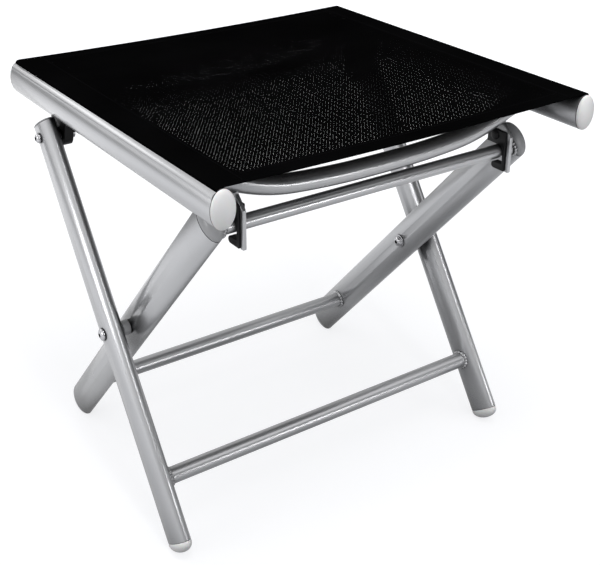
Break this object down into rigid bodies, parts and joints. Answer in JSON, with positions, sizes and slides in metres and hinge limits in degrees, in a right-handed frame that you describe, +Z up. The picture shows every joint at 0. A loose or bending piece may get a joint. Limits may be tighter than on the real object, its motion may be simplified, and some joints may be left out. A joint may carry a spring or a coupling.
{
  "type": "outdoor ottoman footstool",
  "caption": "Folding outdoor footstool with a black fabric sling seat between two rails, on crossed silver tube legs that scissor shut.",
  "frame": {"origin": "on the floor under the middle of the seat", "axes": "+X from the left rail to the right rail, +Y from the latch bar at the front to the seat hinges at the rear, +Z up"},
  "size_m": [0.4764, 0.4514, 0.4663],
  "materials": {
    "black_fabric": "open plain weave of coated yarn",
    "silver_paint": "smooth silver powder coat",
    "white_plastic": "moulded satin",
    "grey_plastic": "moulded satin",
    "black_plastic": "moulded satin",
    "plated_steel": "bright zinc plate"
  },
  "bodies": {
    "outer_legs": {"outer_crossbar": "silver_paint", "left_outer_leg": "silver_paint", "left_outer_foot": "white_plastic", "left_outer_top_plug": "grey_plastic", "left_hinge_bolt": "plated_steel", "left_hinge_washer": "plated_steel", "left_hinge_nut": "plated_steel", "left_pivot_bolt": "plated_steel", "left_pivot_spacer": "grey_plastic", "left_pivot_nut": "plated_steel", "right_outer_leg": "silver_paint", "right_outer_foot": "white_plastic", "right_outer_top_plug": "grey_plastic", "right_hinge_bolt": "plated_steel", "right_hinge_washer": "plated_steel", "right_hinge_nut": "plated_steel", "right_pivot_bolt": "plated_steel", "right_pivot_spacer": "grey_plastic", "right_pivot_nut": "plated_steel"},
    "inner_legs": {"inner_crossbar": "silver_paint", "latch_crossbar": "silver_paint", "left_inner_leg": "silver_paint", "left_inner_foot": "grey_plastic", "left_inner_top_cap": "grey_plastic", "right_inner_leg": "silver_paint", "right_inner_foot": "grey_plastic", "right_inner_top_cap": "grey_plastic"},
    "seat": {"seat_sling": "black_fabric", "front_spreader": "silver_paint", "rear_spreader": "silver_paint", "left_seat_rail": "silver_paint", "left_sling_rod": "black_plastic", "left_front_rail_cap": "white_plastic", "left_rear_rail_cap": "white_plastic", "left_hinge_bracket": "black_plastic", "left_front_bracket_screw": "plated_steel", "left_rear_bracket_screw": "plated_steel", "left_latch_plate": "silver_paint", "left_latch_guide": "black_plastic", "left_latch_rivet": "black_plastic", "right_seat_rail": "silver_paint", "right_sling_rod": "black_plastic", "right_front_rail_cap": "white_plastic", "right_rear_rail_cap": "white_plastic", "right_hinge_bracket": "black_plastic", "right_front_bracket_screw": "plated_steel", "right_rear_bracket_screw": "plated_steel", "right_latch_plate": "silver_paint", "right_latch_guide": "black_plastic", "right_latch_rivet": "black_plastic"}
  },
  "joints": [
    {"name": "leg_fold", "type": "hinge", "parent": "outer_legs", "child": "inner_legs", "pos_m": [0, 0.02, 0.211], "axis": [-1, 0, 0], "range_deg": [0, 64.5]},
    {"name": "seat_hinge", "type": "hinge", "parent": "outer_legs", "child": "seat", "pos_m": [0, 0.14768, 0.39748], "axis": [-1, 0, 0], "range_deg": [0, 56.8]}
  ],
  "couplings": [
    {"joint": "seat_hinge", "follows": "leg_fold", "ratio": 0.88}
  ]
}
